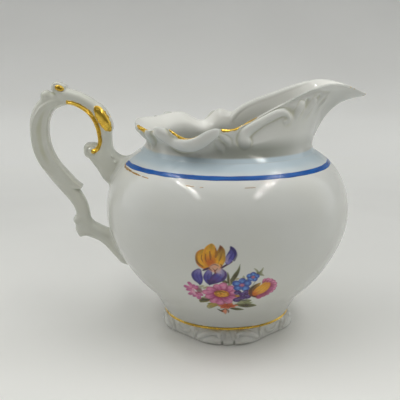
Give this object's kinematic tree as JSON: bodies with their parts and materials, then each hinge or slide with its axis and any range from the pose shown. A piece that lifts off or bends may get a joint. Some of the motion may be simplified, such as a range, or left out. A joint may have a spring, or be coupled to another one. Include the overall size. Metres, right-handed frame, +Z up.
{
  "type": "cream jug",
  "caption": "Round porcelain cream jug with a lobed foot ring, wavy relief rim, raised spout, scroll handle, blue line, gilding and a flower bouquet.",
  "frame": {"origin": "centre of the foot ring's resting face, on the bowl's axis", "axes": "+X towards the spout, the handle at -X, +Z up out of the mouth; the XZ plane is the plane of symmetry"},
  "size_m": [0.1263, 0.0922, 0.0946],
  "materials": {
    "porcelain": "clear glossy glaze over greyish white hard-paste porcelain",
    "porcelain_slip": "sponged slip under the same clear glaze",
    "cobalt_blue_enamel": "fired-on blue enamel line, brushed by hand on a wheel",
    "pale_blue_enamel": "soft sprayed pale blue-grey ground",
    "worn_gold": "gilt line rubbed thin, brownish",
    "burnished_gold": "bright burnished gold, rubbed at its edges",
    "flower_transfer": "many-coloured fired-on flower print"
  },
  "bodies": {
    "root": {"body_bowl": "porcelain", "neck_and_spout": "porcelain", "foot_ring": "porcelain", "handle": "porcelain", "upper_handle_joint": "porcelain_slip", "lower_handle_joint": "porcelain_slip", "blue_shoulder_line": "cobalt_blue_enamel", "pale_blue_shoulder_band": "pale_blue_enamel", "shoulder_gold_line": "worn_gold", "foot_gold_line": "burnished_gold", "rim_gilding": "burnished_gold", "handle_inner_gold_line": "burnished_gold", "handle_gold_leaf": "burnished_gold", "thumb_scroll_gold_eye": "burnished_gold", "flower_transfer_front": "flower_transfer", "flower_transfer_back": "flower_transfer"}
  },
  "joints": []
}
